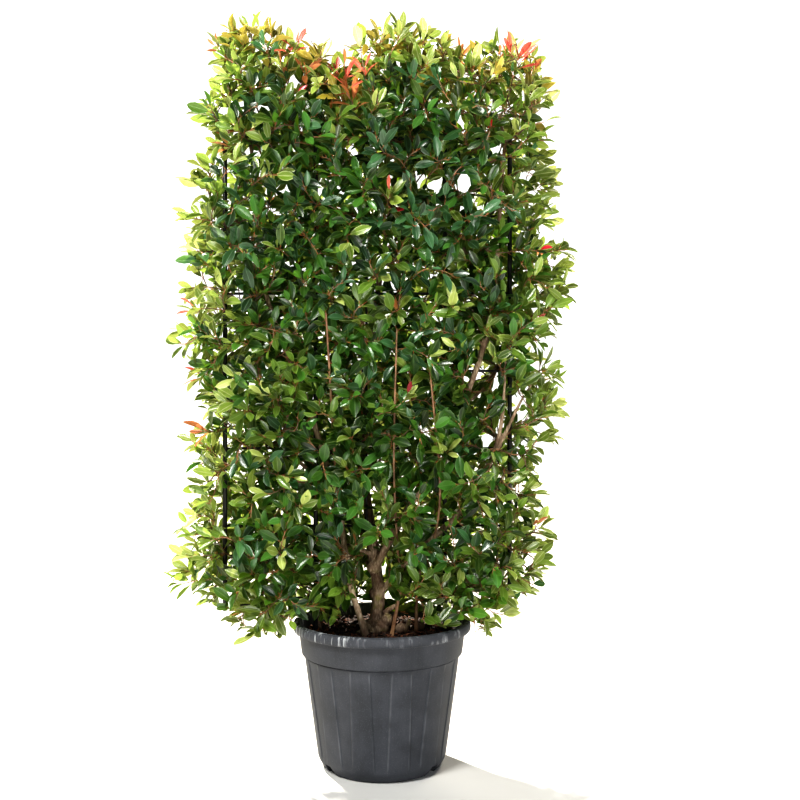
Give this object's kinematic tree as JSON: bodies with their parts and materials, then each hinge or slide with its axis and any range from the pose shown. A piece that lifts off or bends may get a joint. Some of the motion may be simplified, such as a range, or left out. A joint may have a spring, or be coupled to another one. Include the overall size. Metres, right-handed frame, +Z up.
{
  "type": "potted red robin photinia screen",
  "caption": "Evergreen red robin photinia shrub with several stems, trained flat as an upright leafy screen on a thin metal frame, in a ribbed round nursery pot.",
  "frame": {"origin": "centre of the pot's flat underside, on the ground plane", "axes": "+Z up, X along the flat screen with +X to the right as seen from the front, -Y out of the front of the screen"},
  "size_m": [1.0599, 0.4706, 1.9909],
  "materials": {
    "pot": "matte charcoal moulded plastic with faint scuffs",
    "compost": "dark brown bark compost with a few pale chips",
    "frame": "satin black powder coat",
    "bark": "grey-brown, finely fissured bark with a warm tint",
    "young_bark": "smooth reddish-brown young bark",
    "foliage": "glossy green leaves on reddish twigs, with a few red and orange young leaves"
  },
  "bodies": {
    "root": {"bough_leader": "bark", "bough_left": "bark", "bough_left_2": "bark", "bough_left_3": "bark", "bough_left_4": "bark", "bough_middle_1": "bark", "bough_middle_2": "bark", "bough_middle_3": "bark", "bough_middle_4": "bark", "bough_right": "bark", "bough_right_3": "bark", "bough_right_4": "bark", "bough_right_low": "bark", "compost": "compost", "foliage_left_1": "foliage", "foliage_left_2": "foliage", "foliage_left_3": "foliage", "foliage_left_4": "foliage", "foliage_left_5": "foliage", "foliage_middle_1": "foliage", "foliage_middle_2": "foliage", "foliage_middle_3": "foliage", "foliage_middle_4": "foliage", "foliage_middle_5": "foliage", "foliage_right_1": "foliage", "foliage_right_2": "foliage", "foliage_right_3": "foliage", "foliage_right_4": "foliage", "foliage_right_5": "foliage", "frame_brace_left": "frame", "frame_brace_right": "frame", "frame_left": "frame", "frame_leg_left": "frame", "frame_leg_right": "frame", "frame_middle": "frame", "frame_right": "frame", "frame_row_1": "frame", "frame_row_2": "frame", "frame_row_3": "frame", "frame_row_4": "frame", "frame_row_5": "frame", "frame_row_6": "frame", "pot": "pot", "shoot_left": "young_bark", "shoot_middle": "young_bark", "shoot_right": "young_bark", "stem_far_left": "bark", "stem_far_right": "bark", "stem_left": "bark", "trunk": "bark"}
  },
  "joints": []
}
